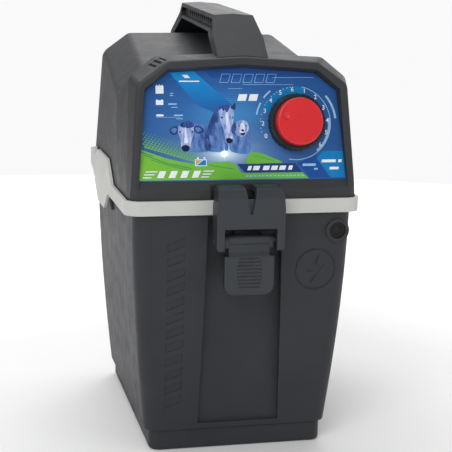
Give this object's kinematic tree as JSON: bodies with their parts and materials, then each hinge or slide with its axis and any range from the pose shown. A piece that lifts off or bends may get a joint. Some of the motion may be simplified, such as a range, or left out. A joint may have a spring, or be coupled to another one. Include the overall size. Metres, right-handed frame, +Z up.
{
  "type": "fence energizer",
  "caption": "Battery fence energizer: tapered battery tub, hinged electronics head with tilted dial panel, carry handle, front draw latch, output posts at the rear.",
  "frame": {"origin": "middle of the tub's base, on the surface it stands on", "axes": "+Z up, -Y to the front with the control panel and latch, +X to the right seen from the front"},
  "size_m": [0.2, 0.2986, 0.3775],
  "materials": {
    "charcoal_moulding": "fine sand texture",
    "latch_moulding": "fine sand texture",
    "grey_band": "fine sand texture",
    "black_rubber": "matt",
    "seal_foam": "closed-cell foam",
    "steel": "bright zinc",
    "printed_panel": "satin printed film",
    "black_moulding": "satin",
    "red_plastic": "satin",
    "green_plastic": "satin",
    "clear_lens": "clear",
    "board_green": "solder mask",
    "core_steel": "varnished laminations",
    "winding_tape": "polyester tape",
    "capacitor_blue": "moulded case",
    "aluminium": "as extruded"
  },
  "bodies": {
    "tub": {"battery_tub": "charcoal_moulding", "lead_port_plug": "black_rubber", "rim_band": "grey_band", "rim_seal": "seal_foam", "hinge_pins": "steel", "lever_pin": "steel"},
    "head": {"head_shell": "charcoal_moulding", "control_panel": "printed_panel", "head_plate": "black_moulding", "plate_screws": "steel", "carry_handle": "charcoal_moulding", "handle_screws": "steel", "switch_body": "black_moulding", "switch_nut": "steel", "pulse_light": "clear_lens", "circuit_board": "board_green", "board_screws": "steel", "transformer_core": "core_steel", "transformer_winding": "winding_tape", "storage_capacitor": "capacitor_blue", "thyristor": "black_moulding", "heat_sink": "aluminium", "terminal_block": "board_green", "fence_bush": "red_plastic", "earth_bush": "green_plastic", "fence_stud": "steel", "earth_stud": "steel"},
    "knob": {"knob_skirt": "black_moulding", "knob_cap": "red_plastic", "switch_shaft": "steel"},
    "lever": {"latch_lever": "latch_moulding", "clasp_pin": "steel"},
    "clasp": {"latch_clasp": "latch_moulding"},
    "fence_nut": {"fence_knob": "red_plastic"},
    "earth_nut": {"earth_knob": "green_plastic"}
  },
  "joints": [
    {"name": "head_hinge", "type": "hinge", "parent": "tub", "child": "head", "pos_m": [0, 0.1335, 0.236], "axis": [-1, 0, 0], "range_deg": [0, 100]},
    {"name": "knob_turn", "type": "hinge", "parent": "head", "child": "knob", "pos_m": [0.0448, -0.10812, 0.28036], "axis": [0, -0.9801, 0.1987], "range_deg": [-202.5, 45]},
    {"name": "lever_hinge", "type": "hinge", "parent": "tub", "child": "lever", "pos_m": [0, -0.122, 0.196], "axis": [-1, 0, 0], "range_deg": [0, 85]},
    {"name": "clasp_hinge", "type": "hinge", "parent": "lever", "child": "clasp", "pos_m": [0, -0.134, 0.187], "axis": [-1, 0, 0], "range_deg": [-95, 0]},
    {"name": "fence_nut_turn", "type": "hinge", "parent": "head", "child": "fence_nut", "pos_m": [-0.042, 0.1401, 0.2898], "axis": [0, 1, 0], "range_deg": [0, 720]},
    {"name": "earth_nut_turn", "type": "hinge", "parent": "head", "child": "earth_nut", "pos_m": [0.042, 0.1401, 0.2898], "axis": [0, 1, 0], "range_deg": [0, 720]}
  ],
  "couplings": [
    {"joint": "clasp_hinge", "follows": "lever_hinge", "ratio": -1.1}
  ]
}
